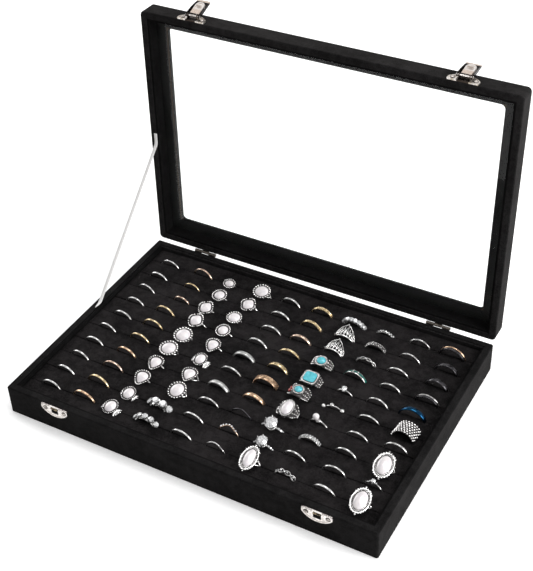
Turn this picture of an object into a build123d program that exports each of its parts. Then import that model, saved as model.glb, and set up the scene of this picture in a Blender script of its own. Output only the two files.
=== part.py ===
from build123d import *
from math import cos, radians, sin
import os

# Ring display tray: a velvet-covered shallow case for finger rings, with a hinged glass lid.
# Millimetres, +Z up, +Y to the back. The origin is the middle of the tray's underside.
# The lid stands open as it does on show, and turns about +X to close.

# Case
case_length = 350.0
case_width = 240.0
tray_height = 28.5
lid_height = 18.0
tray_corner_radius = 1.8
lid_corner_radius = 4.0
rim_radius = 1.2
rim_gap = 0.6
lid_open_angle = 91.3

# Boards, velvet and linings
velvet = 0.5
wall_thickness = 5.0
base_thickness = 2.5
underside_thickness = 0.5
underside_margin = 1.5
lining_thickness = 2.0
lining_drop = 1.0

# Foam insert
insert_board_thickness = 1.5
insert_clearance = 0.3
slot_rows = 10
end_roll_width = 16.3
slot_gap = 0.7
foam_drop = 3.0
crown_height = 1.8
side_draw = 0.5
roll_end_bevel = 1.5

# Lid panel and glass
panel_thickness = 2.7
window_border = 18.5
window_radius = 4.0
glass_thickness = 2.0
glass_clearance = 0.5

# Screw heads
screw_head_radius = 1.5
screw_head_height = 0.5

# Hinges
hinge_from_end = 53.0
hinge_length = 23.0
hinge_leaf_width = 9.0
hinge_leaf_thickness = 0.8
hinge_offset = 1.6
hinge_corner_radius = 1.0
knuckle_radius = 1.4
knuckle_count = 3
knuckle_gap = 0.3
hinge_pin_radius = 0.6
hinge_pin_overhang = 0.3
running_clearance = 0.05
hinge_screw_spacing = 14.0
hinge_screw_drop = 6.2

# Latches and their strike plates
latch_from_end = 51.0
latch_plate_length = 26.6
latch_plate_depth = 11.0
latch_plate_end = 4.4
latch_plate_floor = 0.7
latch_bead_width = 0.8
latch_bead_height = 1.1
latch_corner_radius = 0.8
latch_margin = 0.9
latch_screw_spacing = 19.0
latch_screw_inset = 4.2
ear_spacing = 9.2
ear_thickness = 0.7
ear_width = 3.6
pivot_inset = 5.2
pivot_height = 3.1
latch_pin_radius = 0.7
latch_pin_head = 0.4
latch_pin_head_radius = 1.1

# Lever, measured from its pivot
lever_width = 13.3
lever_sheet = 0.7
lever_plate_drop = 1.9
lever_root = 2.5
lever_reach = 19.0
lever_curl_radius = 2.6
lever_curl_angle = 55.0
lever_tip_radius = 3.0
left_lever_lift = 21.0
right_lever_lift = 8.0
flange_radius = 1.6
flange_reach = 17.8
tongue_width = 9.0
tongue_height = 1.6
tongue_bevel = 0.3
tongue_reach = 16.8
tongue_dish_inset = 1.3
tongue_dish_depth = 0.6
tongue_dish_start = 8.6
hook_width = 5.0
hook_thickness = 0.8
hook_clearance = 0.5
hook_floor_clearance = 0.9

# Catch on the strike plate
catch_width = 6.4
catch_radius = 0.9
catch_centre_height = 1.0
strike_window_width = 7.0
strike_window_length = 5.6
strike_window_inset = 2.2

# Spring in the latch
spring_wire_thickness = 0.4
spring_clearance = 0.1
spring_length = 6.4

# Ribbon stay
ribbon_inset = 5.5
ribbon_width = 3.2
ribbon_thickness = 0.3
ribbon_clearance = 0.1
ribbon_tray_reach = 109.5
ribbon_tray_tab = 7.5
ribbon_lid_reach = 108.0
ribbon_lid_tab = 11.0
ribbon_bend_radius = 3.0

# Levels and insets that follow from the sizes above
half_length = case_length / 2
half_width = case_width / 2
hinge_place = half_length - hinge_from_end
latch_place = half_length - latch_from_end
ribbon_place = half_length - ribbon_inset
base_top = underside_thickness + base_thickness
board_inset = velvet + wall_thickness
lining_inset = board_inset + velvet
insert_inset = lining_inset + lining_thickness + insert_clearance
glass_bottom = velvet + panel_thickness
glass_top = glass_bottom + glass_thickness
insert_top = base_top + insert_board_thickness
foam_top = tray_height - foam_drop

# Hinge line and the opened lid's own frame: X along the hinge, Y from hinge edge to latch edge,
# Z from the outer face towards the rim. It is centred on the lid's outer face.
hinge_y = half_width + hinge_offset
hinge_z = tray_height + rim_gap / 2
open_angle = radians(lid_open_angle)
lid_rise = rim_gap / 2 + lid_height
lid_edge_y = hinge_y - hinge_offset * cos(open_angle) + lid_rise * sin(open_angle)
lid_edge_z = hinge_z + hinge_offset * sin(open_angle) + lid_rise * cos(open_angle)
lid_middle = (
    0,
    lid_edge_y - half_width * cos(open_angle),
    lid_edge_z + half_width * sin(open_angle),
)
tray_plane = Plane.XY
lid_plane = Plane(origin=lid_middle, x_dir=(1, 0, 0), z_dir=(0, -sin(open_angle), -cos(open_angle)))


def rim_point(plane, height, side, x):
    """A point on a half's outer front or back face, at its rim."""
    return plane.from_local_coords((x, side * half_width, height))


def lid_face(side, x):
    """A plane on the lid's latch face (side 1) or hinge face (side -1), with Y away from the rim."""
    return Plane(
        origin=rim_point(lid_plane, lid_height, side, x),
        x_dir=lid_plane.x_dir * side,
        z_dir=lid_plane.y_dir * side,
    )


def tray_face(side, x):
    """A plane on the tray's front (side -1) or back face (side 1), with Y away from the rim."""
    return Plane(
        origin=rim_point(tray_plane, tray_height, side, x),
        x_dir=(side, 0, 0),
        z_dir=(0, side, 0),
    )


latch_faces = [lid_face(1, side * latch_place) for side in (-1, 1)]
strike_faces = [tray_face(-1, side * latch_place) for side in (-1, 1)]
lid_hinge_faces = [lid_face(-1, side * hinge_place) for side in (-1, 1)]
tray_hinge_faces = [tray_face(1, side * hinge_place) for side in (-1, 1)]
latch_screw_spots = [
    (side * latch_screw_spacing / 2, latch_margin + latch_screw_inset) for side in (-1, 1)
]
hinge_screw_spots = [(side * hinge_screw_spacing / 2, hinge_screw_drop) for side in (-1, 1)]


def save(piece, label):
    """Names a finished piece and writes its file."""
    piece.part.label = label
    export_step(piece.part, f"parts/{label}.step")


def rounded_outline(plane, inset, radius):
    """The case's outline with rounded corners of an outer radius, drawn in by an inset."""
    with BuildSketch(plane) as outline:
        RectangleRounded(case_length - 2 * inset, case_width - 2 * inset, radius - inset)
    return outline.sketch


def square_outline(plane, inset):
    """A square-cornered outline inside the case, drawn in by an inset."""
    with BuildSketch(plane) as outline:
        Rectangle(case_length - 2 * inset, case_width - 2 * inset)
    return outline.sketch


def board_ring(plane, radius):
    """The closed ring in which a half's four boards stand."""
    with BuildSketch(plane) as ring:
        RectangleRounded(case_length - 2 * velvet, case_width - 2 * velvet, radius - velvet)
        Rectangle(case_length - 2 * board_inset, case_width - 2 * board_inset, mode=Mode.SUBTRACT)
    return ring.sketch


def window_frame(plane):
    """The lid panel's outline: the board outline with the window cut out of it."""
    window_margin = window_border - velvet
    with BuildSketch(plane) as panel:
        RectangleRounded(case_length - 2 * velvet, case_width - 2 * velvet, lid_corner_radius - velvet)
        RectangleRounded(
            case_length - 2 * window_margin,
            case_width - 2 * window_margin,
            window_radius + velvet,
            mode=Mode.SUBTRACT,
        )
    return panel.sketch


def long_board(plane, side, foot, top, radius):
    """A front or back board: as long as the case, rounded at its two outer corners."""
    with BuildPart() as board:
        with BuildSketch(plane.offset(foot)):
            with Locations((0, side * (half_width - velvet - wall_thickness / 2))):
                Rectangle(case_length - 2 * velvet, wall_thickness)
        extrude(amount=top - foot)
        case_outline = rounded_outline(plane.offset(foot), velvet, radius)
        extrude(case_outline, amount=top - foot, mode=Mode.INTERSECT)
    return board


def end_board(plane, side, foot, top):
    """A left or right board, butted between the two long ones."""
    with BuildPart() as board:
        with BuildSketch(plane.offset(foot)):
            with Locations((side * (half_length - velvet - wall_thickness / 2), 0)):
                Rectangle(wall_thickness, case_width - 2 * board_inset)
        extrude(amount=top - foot)
    return board


def long_lining(plane, side, foot, top):
    """A velvet-covered card standing against a front or back board."""
    with BuildPart() as card:
        with BuildSketch(plane.offset(foot)):
            with Locations((0, side * (half_width - lining_inset - lining_thickness / 2))):
                Rectangle(case_length - 2 * lining_inset, lining_thickness)
        extrude(amount=top - foot)
    return card


def end_lining(plane, side, foot, top):
    """A velvet-covered card standing against a left or right board, between the long cards."""
    with BuildPart() as card:
        with BuildSketch(plane.offset(foot)):
            with Locations((side * (half_length - lining_inset - lining_thickness / 2), 0)):
                Rectangle(lining_thickness, case_width - 2 * (lining_inset + lining_thickness))
        extrude(amount=top - foot)
    return card


os.makedirs("parts", exist_ok=True)

# Tray boards
board_top = tray_height - velvet
for side, end_name, side_name in ((-1, "front", "left"), (1, "back", "right")):
    long_wall = long_board(tray_plane, side, underside_thickness, board_top, tray_corner_radius)
    save(long_wall, f"tray_{end_name}_wall")
    save(end_board(tray_plane, side, underside_thickness, board_top), f"tray_{side_name}_wall")

with BuildPart() as tray_base_board:
    extrude(square_outline(tray_plane.offset(underside_thickness), board_inset), amount=base_thickness)
save(tray_base_board, "tray_base_board")

# Sheet glued over the whole underside: the face the tray rests on
with BuildPart() as tray_underside_sheet:
    extrude(square_outline(tray_plane, underside_margin), amount=underside_thickness)
save(tray_underside_sheet, "tray_underside_sheet")

# Velvet wrapped up the outside of the tray, over the rim and down behind the linings
with BuildPart() as tray_cover:
    wrap_foot = tray_plane.offset(underside_thickness)
    wrap_height = tray_height - underside_thickness
    extrude(rounded_outline(wrap_foot, 0, tray_corner_radius), amount=wrap_height)
    fillet(tray_cover.faces().sort_by(Axis.Z)[-1].edges(), rim_radius)
    wall_ring = board_ring(wrap_foot, tray_corner_radius)
    extrude(wall_ring, amount=wrap_height - velvet, mode=Mode.SUBTRACT)
    extrude(square_outline(wrap_foot, board_inset), amount=base_thickness, mode=Mode.SUBTRACT)
    extrude(square_outline(wrap_foot, lining_inset), amount=wrap_height, mode=Mode.SUBTRACT)
save(tray_cover, "tray_cover")

# Tray linings
lining_top = tray_height - lining_drop
for side, end_name, side_name in ((-1, "front", "left"), (1, "back", "right")):
    save(long_lining(tray_plane, side, base_top, lining_top), f"tray_{end_name}_lining")
    save(end_lining(tray_plane, side, base_top, lining_top), f"tray_{side_name}_lining")

# Foam insert: soft rolls on a card, with a ring slot between each two
with BuildPart() as insert_board:
    extrude(square_outline(tray_plane.offset(base_top), insert_inset), amount=insert_board_thickness)
save(insert_board, "insert_board")

roll_length = case_length - 2 * insert_inset
roll_edge = half_width - insert_inset
slot_pitch = 2 * (roll_edge - end_roll_width) / (slot_rows - 1)
slot_lines = [(row - (slot_rows - 1) / 2) * slot_pitch for row in range(slot_rows)]
roll_starts = [-roll_edge] + [line + slot_gap / 2 for line in slot_lines]
roll_stops = [line - slot_gap / 2 for line in slot_lines] + [roll_edge]
shoulder_z = foam_top - crown_height
waist_z = (insert_top + shoulder_z) / 2


def foam_roll(start, stop):
    """A roll of foam in velvet: flat below, sides drawn in to foot and shoulder, crowned on top."""
    middle = (start + stop) / 2
    with BuildPart() as roll:
        with BuildSketch(Plane.YZ.offset(-roll_length / 2)):
            with BuildLine():
                Line((start + side_draw, insert_top), (stop - side_draw, insert_top))
                ThreePointArc(
                    (stop - side_draw, insert_top), (stop, waist_z), (stop - side_draw, shoulder_z)
                )
                ThreePointArc(
                    (stop - side_draw, shoulder_z), (middle, foam_top), (start + side_draw, shoulder_z)
                )
                ThreePointArc(
                    (start + side_draw, shoulder_z), (start, waist_z), (start + side_draw, insert_top)
                )
            make_face()
        extrude(amount=roll_length)
        chamfer(roll.edges().filter_by(GeomType.CIRCLE).group_by(Axis.Z)[-1], roll_end_bevel)
    return roll


for number, (start, stop) in enumerate(zip(roll_starts, roll_stops), 1):
    save(foam_roll(start, stop), f"foam_roll_{number:02d}")

# Lid boards, standing on the panel
lid_board_top = lid_height - velvet
save(long_board(lid_plane, -1, glass_bottom, lid_board_top, lid_corner_radius), "lid_hinge_rail")
save(long_board(lid_plane, 1, glass_bottom, lid_board_top, lid_corner_radius), "lid_latch_rail")
save(end_board(lid_plane, -1, glass_bottom, lid_board_top), "lid_left_stile")
save(end_board(lid_plane, 1, glass_bottom, lid_board_top), "lid_right_stile")

# Lid panel with the window, covering the boards
with BuildPart() as lid_window_panel:
    extrude(window_frame(lid_plane.offset(velvet)), amount=panel_thickness)
save(lid_window_panel, "lid_window_panel")

with BuildPart() as lid_glass:
    extrude(
        square_outline(lid_plane.offset(glass_bottom), lining_inset + glass_clearance),
        amount=glass_thickness,
    )
save(lid_glass, "lid_glass")

# Velvet wrapped over the panel, through the window's edge, up the sides and over the rim
with BuildPart() as lid_cover:
    extrude(rounded_outline(lid_plane, 0, lid_corner_radius), amount=lid_height)
    broad_faces = lid_cover.faces().filter_by(Axis((0, 0, 0), lid_plane.z_dir))
    fillet(broad_faces.edges(), rim_radius)
    extrude(window_frame(lid_plane.offset(velvet)), amount=panel_thickness, mode=Mode.SUBTRACT)
    board_height = lid_board_top - glass_bottom
    stile_ring = board_ring(lid_plane.offset(glass_bottom), lid_corner_radius)
    extrude(stile_ring, amount=board_height, mode=Mode.SUBTRACT)
    recess_depth = lid_height - glass_bottom
    extrude(
        square_outline(lid_plane.offset(glass_bottom), lining_inset),
        amount=recess_depth,
        mode=Mode.SUBTRACT,
    )
    with BuildSketch(lid_plane):
        RectangleRounded(
            case_length - 2 * window_border, case_width - 2 * window_border, window_radius
        )
    extrude(amount=glass_bottom, mode=Mode.SUBTRACT)
save(lid_cover, "lid_cover")

# Lid linings, which stand on the glass and hold it down
lid_lining_top = lid_height - lining_drop
for side, end_name, side_name in ((-1, "hinge", "left"), (1, "latch", "right")):
    save(long_lining(lid_plane, side, glass_top, lid_lining_top), f"lid_{end_name}_lining")
    save(end_lining(lid_plane, side, glass_top, lid_lining_top), f"lid_{side_name}_lining")

# Hinges
knuckle_pitch = hinge_length / knuckle_count
knuckle_line = -rim_gap / 2
knuckle_starts = [-hinge_length / 2 + index * knuckle_pitch for index in range(knuckle_count)]
tray_knuckles = knuckle_starts[0::2]
lid_knuckles = knuckle_starts[1::2]


def knuckle_section(face, x):
    """A plane across the hinge line at x, with its origin on the line."""
    return Plane(
        origin=face.from_local_coords((x, knuckle_line, hinge_offset)),
        x_dir=face.y_dir,
        z_dir=face.x_dir,
    )


def hinge_leaf(face, own, other, bore_radius):
    """A leaf lying on a face, with its own knuckles and room for the other leaf's."""
    with BuildPart() as leaf:
        with BuildSketch(face):
            with Locations((0, (hinge_leaf_width + knuckle_line) / 2)):
                Rectangle(hinge_length - knuckle_gap, hinge_leaf_width - knuckle_line)
        extrude(amount=hinge_leaf_thickness)
        far_corners = leaf.edges().filter_by(Axis((0, 0, 0), face.z_dir)).sort_by(
            Axis(face.origin, face.y_dir)
        )[-2:]
        fillet(far_corners, hinge_corner_radius)
        room = knuckle_radius + knuckle_gap
        for x in other:
            with BuildSketch(face):
                with Locations((x + knuckle_pitch / 2, knuckle_line)):
                    Rectangle(knuckle_pitch + knuckle_gap, 2 * room)
            extrude(amount=hinge_leaf_thickness, mode=Mode.SUBTRACT)
        for x in own:
            with BuildSketch(knuckle_section(face, x + knuckle_gap / 2)):
                Circle(knuckle_radius)
            extrude(amount=knuckle_pitch - knuckle_gap)
        with BuildSketch(knuckle_section(face, -hinge_length)):
            Circle(bore_radius)
        extrude(amount=2 * hinge_length, mode=Mode.SUBTRACT)
        with BuildSketch(face.offset(hinge_leaf_thickness)):
            with Locations(*hinge_screw_spots):
                Circle(screw_head_radius)
        extrude(amount=screw_head_height)
    return leaf


for side_name, tray_hinge_face, lid_hinge_face in zip(
    ("left", "right"), tray_hinge_faces, lid_hinge_faces
):
    save(
        hinge_leaf(tray_hinge_face, tray_knuckles, lid_knuckles, hinge_pin_radius),
        f"{side_name}_hinge_tray_leaf",
    )
    save(
        hinge_leaf(
            lid_hinge_face, lid_knuckles, tray_knuckles, hinge_pin_radius + running_clearance
        ),
        f"{side_name}_hinge_lid_leaf",
    )
    with BuildPart() as hinge_pin:
        pin_length = hinge_length + 2 * hinge_pin_overhang
        with BuildSketch(knuckle_section(tray_hinge_face, -pin_length / 2)):
            Circle(hinge_pin_radius)
        extrude(amount=pin_length)
    save(hinge_pin, f"{side_name}_hinge_pin")


def half_moon(plane, inset):
    """A plate outline: straight along the rim, an arc away from it, short square ends."""
    half = latch_plate_length / 2 - inset
    near = latch_margin + inset
    end = latch_margin + latch_plate_end - inset
    far = latch_margin + latch_plate_depth - inset
    with BuildSketch(plane) as outline:
        with BuildLine():
            Polyline((-half, end), (-half, near), (half, near), (half, end))
            ThreePointArc((half, end), (0, far), (-half, end))
        make_face()
        fillet(outline.vertices(), latch_corner_radius)
    return outline.sketch


def dished_plate(face):
    """A stamped half-moon plate with a raised bead round its edge and its two screws' heads."""
    with BuildPart() as plate:
        extrude(half_moon(face, 0), amount=latch_bead_height)
        extrude(
            half_moon(face.offset(latch_plate_floor), latch_bead_width),
            amount=latch_bead_height - latch_plate_floor,
            mode=Mode.SUBTRACT,
        )
        with BuildSketch(face.offset(latch_plate_floor)):
            with Locations(*latch_screw_spots):
                Circle(screw_head_radius)
        extrude(amount=screw_head_height)
    return plate.part


def side_section(face, x):
    """A plane across a latch at x, with its X away from the rim and its Y out of the face."""
    return Plane(
        origin=face.from_local_coords((x, 0, 0)), x_dir=face.y_dir, z_dir=face.y_dir.cross(face.z_dir)
    )


pivot = (latch_margin + pivot_inset, pivot_height)
pin_reach = lever_width / 2 + running_clearance


def latch_plate(face):
    """The lid's half-moon plate with two upright ears that carry the lever's pin."""
    with BuildPart() as plate:
        add(dished_plate(face))
        for side in (-1, 1):
            with BuildSketch(side_section(face, side * ear_spacing / 2)):
                with Locations((pivot[0], pivot_height / 2)):
                    Rectangle(ear_width, pivot_height)
                with Locations(pivot):
                    Circle(ear_width / 2)
                with Locations(pivot):
                    Circle(latch_pin_radius, mode=Mode.SUBTRACT)
            extrude(amount=ear_thickness / 2, both=True)
    return plate


# The catch on the strike plate, and where the closed lever holds its hook below it
catch_from_rim = latch_margin + strike_window_inset
hook_from_rim = catch_from_rim + catch_radius + hook_clearance + hook_thickness / 2
hook_from_pivot = pivot[0] + rim_gap + hook_from_rim
hook_top = 2 * pivot_height - hook_floor_clearance


def lifted(face, lift):
    """A latch face turned about the lever's pivot, as far as the lever stands off its plate."""
    turn = radians(lift)
    y_dir = face.y_dir * cos(turn) + face.z_dir * sin(turn)
    z_dir = face.z_dir * cos(turn) - face.y_dir * sin(turn)
    pivot_point = face.from_local_coords((0, pivot[0], pivot[1]))
    origin = pivot_point - y_dir * pivot[0] - z_dir * pivot[1]
    return Plane(origin=origin, x_dir=face.x_dir, z_dir=z_dir)


def round_ended(start, end, width):
    """A strip's outline on the present sketch, from start to a half-round end."""
    round_end = end - width / 2
    with Locations((0, (start + round_end) / 2)):
        Rectangle(width, round_end - start)
    with Locations((0, round_end)):
        Circle(width / 2)


def latch_lever(latch_face, lift):
    """The turned-back lever: a sheet with two side flanges, a dished tongue, a hook and a curl."""
    face = lifted(latch_face, lift)
    plate_under = pivot_height - lever_plate_drop
    plate_upper = plate_under + lever_sheet
    root = pivot[0] + lever_root
    tip = pivot[0] + lever_reach
    tip_end = tip + lever_curl_radius
    with BuildPart() as lever:
        with BuildLine(side_section(face, 0)) as spine:
            run = Line((root, plate_under + lever_sheet / 2), (tip, plate_under + lever_sheet / 2))
            JernArc(run @ 1, run % 1, lever_curl_radius, -lever_curl_angle)
        with BuildSketch(Plane(origin=spine.line @ 0, x_dir=face.x_dir, z_dir=spine.line % 0)):
            Rectangle(lever_width, lever_sheet)
        sweep()
        with BuildSketch(face) as plan:
            with Locations((0, (root + tip_end) / 2)):
                Rectangle(lever_width, tip_end - root)
            fillet(plan.vertices().group_by(Axis.Y)[-1], lever_tip_radius)
        extrude(amount=pivot_height, mode=Mode.INTERSECT)
        for side in (-1, 1):
            with BuildSketch(side_section(face, side * (lever_width - lever_sheet) / 2)):
                with BuildLine():
                    flange_tip = (pivot[0] + flange_reach, plate_upper)
                    TangentArc((pivot[0], pivot_height + flange_radius), flange_tip, tangent=(1, 0))
                    Polyline(
                        flange_tip,
                        (pivot[0] + flange_reach, plate_under),
                        (root, plate_under),
                        (pivot[0], pivot_height - flange_radius),
                        (pivot[0], pivot_height + flange_radius),
                    )
                make_face()
                with Locations(pivot):
                    Circle(flange_radius)
                with Locations(pivot):
                    Circle(latch_pin_radius + running_clearance, mode=Mode.SUBTRACT)
            extrude(amount=lever_sheet / 2, both=True)
        tongue_end = pivot[0] + tongue_reach
        with BuildSketch(face.offset(plate_upper)):
            round_ended(root, tongue_end, tongue_width)
        extrude(amount=tongue_height)
        tongue_level = pivot_height - lever_plate_drop + lever_sheet + tongue_height
        tongue_face = lever.faces().filter_by(GeomType.PLANE).filter_by(
            lambda flat: abs(face.to_local_coords(flat.center()).Z - tongue_level) < 0.01
        )
        chamfer(tongue_face.edges(), tongue_bevel)
        with BuildSketch(face.offset(tongue_level)):
            dish_width = tongue_width - 2 * tongue_dish_inset
            dish_start = pivot[0] + tongue_dish_start
            round_ended(dish_start, tongue_end - tongue_dish_inset, dish_width)
        extrude(amount=-tongue_dish_depth, mode=Mode.SUBTRACT)
        with BuildSketch(face.offset(plate_upper)):
            with Locations((0, pivot[0] + hook_from_pivot)):
                Rectangle(hook_width, hook_thickness)
        extrude(amount=hook_top - plate_upper)
    return lever


def latch_pin(face):
    """The lever's pin, headed at both ends outside the flanges."""
    with BuildPart() as pin:
        with BuildSketch(side_section(face, 0)):
            with Locations(pivot):
                Circle(latch_pin_radius)
        extrude(amount=pin_reach + latch_pin_head, both=True)
        for side in (-1, 1):
            with BuildSketch(side_section(face, side * (pin_reach + latch_pin_head / 2))):
                with Locations(pivot):
                    Circle(latch_pin_head_radius)
            extrude(amount=latch_pin_head / 2, both=True)
    return pin


def latch_spring(face):
    """The close-wound spring round the lever's pin, between the ears, as a plain sleeve."""
    with BuildPart() as spring:
        with BuildSketch(side_section(face, 0)):
            with Locations(pivot):
                Circle(latch_pin_radius + spring_clearance + spring_wire_thickness)
                Circle(latch_pin_radius + spring_clearance, mode=Mode.SUBTRACT)
        extrude(amount=spring_length / 2, both=True)
    return spring


def strike_plate(face):
    """The tray's half-moon plate with a window and the rolled catch at the window's rim side."""
    with BuildPart() as plate:
        add(dished_plate(face))
        with BuildSketch(face):
            with Locations((0, catch_from_rim + strike_window_length / 2)):
                RectangleRounded(strike_window_width, strike_window_length, latch_corner_radius)
        extrude(amount=latch_bead_height, mode=Mode.SUBTRACT)
        with BuildSketch(side_section(face, 0)):
            with Locations((catch_from_rim, catch_centre_height)):
                Circle(catch_radius)
        extrude(amount=catch_width / 2, both=True)
    return plate


# Latches on the lid, strike plates on the tray
lever_lifts = (left_lever_lift, right_lever_lift)
for side_name, latch_face, strike_face, lift in zip(
    ("left", "right"), latch_faces, strike_faces, lever_lifts
):
    save(latch_plate(latch_face), f"{side_name}_latch_plate")
    save(latch_lever(latch_face, lift), f"{side_name}_latch_lever")
    save(latch_pin(latch_face), f"{side_name}_latch_pin")
    save(latch_spring(latch_face), f"{side_name}_latch_spring")
    save(strike_plate(strike_face), f"{side_name}_strike_plate")

# Ribbon that stops the lid as it leans back: from the tray's left rim up to the lid's rim
with BuildPart() as ribbon_stay:
    on_tray = tray_height + ribbon_thickness / 2
    off_lid = lid_height + ribbon_clearance + ribbon_thickness / 2
    tray_bend_y = half_width - ribbon_tray_reach
    lid_bend_y = ribbon_lid_reach - half_width
    lid_bend = lid_plane.from_local_coords((-ribbon_place, lid_bend_y, off_lid))
    lid_end = lid_plane.from_local_coords((-ribbon_place, lid_bend_y + ribbon_lid_tab, off_lid))
    with BuildLine() as ribbon_path:
        FilletPolyline(
            (-ribbon_place, tray_bend_y - ribbon_tray_tab, on_tray),
            (-ribbon_place, tray_bend_y, on_tray),
            lid_bend,
            lid_end,
            radius=ribbon_bend_radius,
        )
    with BuildSketch(Plane(origin=ribbon_path.line @ 0, x_dir=(1, 0, 0), z_dir=ribbon_path.line % 0)):
        Rectangle(ribbon_width, ribbon_thickness)
    sweep()
save(ribbon_stay, "ribbon_stay")
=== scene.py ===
import bpy
import bmesh
import numpy as np
from mathutils import Matrix, Vector


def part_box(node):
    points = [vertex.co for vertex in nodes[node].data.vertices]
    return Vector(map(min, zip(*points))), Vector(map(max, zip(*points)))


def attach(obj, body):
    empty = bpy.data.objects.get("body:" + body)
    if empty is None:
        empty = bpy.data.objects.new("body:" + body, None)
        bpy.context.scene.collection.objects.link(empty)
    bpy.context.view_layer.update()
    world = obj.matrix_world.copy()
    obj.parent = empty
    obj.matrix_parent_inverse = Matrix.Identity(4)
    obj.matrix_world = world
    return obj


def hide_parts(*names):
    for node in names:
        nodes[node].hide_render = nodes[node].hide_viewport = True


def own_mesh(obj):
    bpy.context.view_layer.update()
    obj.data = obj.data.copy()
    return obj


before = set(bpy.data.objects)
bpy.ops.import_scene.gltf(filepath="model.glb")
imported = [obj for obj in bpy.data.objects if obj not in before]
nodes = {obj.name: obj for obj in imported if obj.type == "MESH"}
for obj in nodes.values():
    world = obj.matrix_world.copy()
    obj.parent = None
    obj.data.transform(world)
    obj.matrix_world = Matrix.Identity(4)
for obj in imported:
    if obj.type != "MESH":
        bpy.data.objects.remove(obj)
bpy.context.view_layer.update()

# Case boards: four walls and a floor of bare fibreboard in the tray, four walls in the lid.
# They are glued edge to edge and end up out of sight under the velvet.


def new_group(name, inputs, outputs):
    """A shader node group with named sockets; returns its tree, input node and output node."""
    tree = bpy.data.node_groups.new(name, "ShaderNodeTree")
    for socket, kind, value in inputs:
        made = tree.interface.new_socket(socket, in_out="INPUT", socket_type=kind)
        made.default_value = value
    for socket, kind in outputs:
        tree.interface.new_socket(socket, in_out="OUTPUT", socket_type=kind)
    return tree, tree.nodes.new("NodeGroupInput"), tree.nodes.new("NodeGroupOutput")


def join(tree, start, end):
    """Links one socket to another."""
    tree.links.new(start, end)


def arithmetic(tree, kind, first, second=None):
    """A Math node; each of its inputs is a number or a socket."""
    node = tree.nodes.new("ShaderNodeMath")
    node.operation = kind
    for socket, value in zip(node.inputs, (first, second)):
        if isinstance(value, (int, float)):
            socket.default_value = value
        elif value is not None:
            tree.links.new(value, socket)
    return node.outputs[0]


def noise(tree, where, scale, detail=3.0, rough=0.6):
    """Cloudy noise on a position; scale is in cells per metre."""
    node = tree.nodes.new("ShaderNodeTexNoise")
    node.inputs["Scale"].default_value = scale
    node.inputs["Detail"].default_value = detail
    node.inputs["Roughness"].default_value = rough
    tree.links.new(where, node.inputs["Vector"])
    return node.outputs["Fac"]


def spread(tree, value, low, high, out_low=0.0, out_high=1.0):
    """Stretches a value from one range to another, clamped."""
    node = tree.nodes.new("ShaderNodeMapRange")
    node.clamp = True
    for socket, number in zip(node.inputs[1:5], (low, high, out_low, out_high)):
        socket.default_value = number
    tree.links.new(value, node.inputs[0])
    return node.outputs[0]


def within(tree, value, edge, beyond):
    """1 up to an edge, 0 from another on."""
    return spread(tree, value, edge, beyond, 1.0, 0.0)


def tint(tree, share, first, second):
    """A colour between two others; the share and either colour may be sockets."""
    node = tree.nodes.new("ShaderNodeMix")
    node.data_type = "RGBA"
    for socket, value in ((node.inputs[0], share), (node.inputs[6], first), (node.inputs[7], second)):
        if isinstance(value, bpy.types.NodeSocket):
            tree.links.new(value, socket)
        elif isinstance(value, (int, float)):
            socket.default_value = value
        else:
            socket.default_value = (*value, 1.0)
    return node.outputs[2]


def new_material(name, **sockets):
    """A material with its plain sockets set by name; returns it, its node tree and its Principled shader."""
    material = bpy.data.materials.new(name)
    material.use_nodes = True
    shader = material.node_tree.nodes["Principled BSDF"]
    for socket, value in sockets.items():
        plain = socket.replace("_", " ")
        shader.inputs[plain].default_value = (*value, 1.0) if isinstance(value, tuple) else value
    return material, material.node_tree, shader


def place(tree):
    """The position on the piece, in metres."""
    return tree.nodes.new("ShaderNodeTexCoord").outputs["Object"]


def place_parts(tree):
    """The position's parts X, Y and Z as sockets."""
    split = tree.nodes.new("ShaderNodeSeparateXYZ")
    join(tree, place(tree), split.inputs[0])
    return split.outputs["X"], split.outputs["Y"], split.outputs["Z"]


def bump(tree, shader, height, distance, strength=1.0):
    """Feeds a height into a shader's normal; distance is in metres."""
    node = tree.nodes.new("ShaderNodeBump")
    node.inputs["Strength"].default_value = strength
    node.inputs["Distance"].default_value = distance
    tree.links.new(height, node.inputs["Height"])
    tree.links.new(node.outputs["Normal"], shader.inputs["Normal"])


def dress(material, *names):
    """Gives CAD nodes a material in place of the one that they came with."""
    for name in names:
        nodes[name].data.materials.clear()
        nodes[name].data.materials.append(material)


fibreboard, tree, shader = new_material("fibreboard", Roughness=0.85)
fibres = noise(tree, place(tree), 900.0, 6.0, 0.7)
clouds = noise(tree, place(tree), 60.0, 2.0)
shade = arithmetic(tree, "MULTIPLY", fibres, clouds)
join(tree, tint(tree, spread(tree, shade, 0.1, 0.45), (0.22, 0.13, 0.07), (0.5, 0.34, 0.2)),
     shader.inputs["Base Color"])
bump(tree, shader, fibres, 0.0001)
dress(fibreboard, "tray_front_wall", "tray_back_wall", "tray_left_wall", "tray_right_wall", "tray_base_board",
      "lid_hinge_rail", "lid_latch_rail", "lid_left_stile", "lid_right_stile")

# Card under the foam: grey pressed card, cut to drop inside the linings.
# It stiffens the insert, and is seen only where the insert is lifted out.
card, tree, shader = new_material("pressed_card", Roughness=0.9)
flecks = noise(tree, place(tree), 1500.0, 4.0, 0.7)
join(tree, tint(tree, spread(tree, flecks, 0.35, 0.65), (0.16, 0.14, 0.11), (0.36, 0.33, 0.28)),
     shader.inputs["Base Color"])
bump(tree, shader, flecks, 0.00005)
dress(card, "insert_board")

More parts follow.
